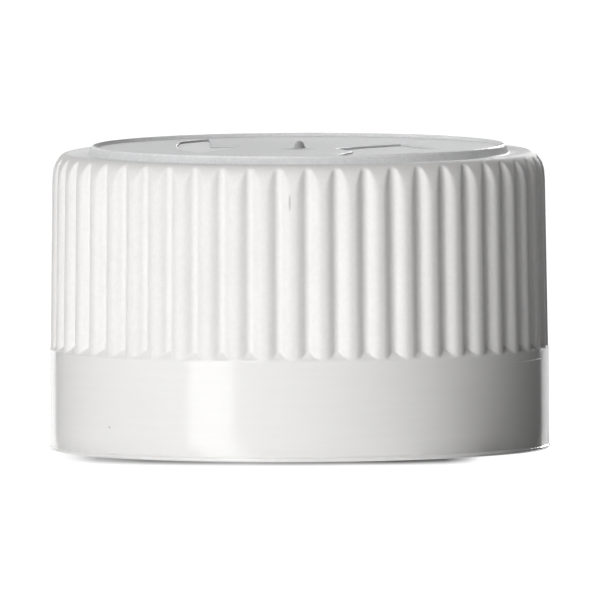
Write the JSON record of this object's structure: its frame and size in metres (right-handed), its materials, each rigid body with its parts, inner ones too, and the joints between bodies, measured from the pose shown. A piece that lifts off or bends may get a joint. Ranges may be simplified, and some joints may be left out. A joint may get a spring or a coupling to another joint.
{
  "type": "child-resistant cap",
  "caption": "Push-and-turn closure: a ribbed white shell with a plain band and low top disc round a threaded inner cap with a sealing disc.",
  "frame": {"origin": "centre of the shell's rim, in the plane that the cap stands on", "axes": "+Z along the cap's axis, from the open mouth to the top disc; +X and +Y across it, through rib crests"},
  "size_m": [0.0342, 0.0342, 0.021],
  "materials": {
    "shell_white": "moulded white polypropylene, polished band and finely matt ribs",
    "inner_natural": "moulded natural white polypropylene",
    "liner_foam": "smooth foamed polyethylene"
  },
  "bodies": {
    "shell": {"outer_shell": "shell_white"},
    "seal": {"liner": "liner_foam"},
    "inner": {"inner_cap": "inner_natural"}
  },
  "joints": [
    {"name": "push_travel", "type": "slide", "parent": "shell", "child": "seal", "axis": [0, 0, 1], "range_m": [0, 0.0015], "stiffness_N_per_m": 8000, "springref_m": -0.0005},
    {"name": "free_turn", "type": "hinge", "parent": "seal", "child": "inner", "pos_m": [0, 0, 0.0136], "axis": [0, 0, 1], "continuous": true}
  ]
}
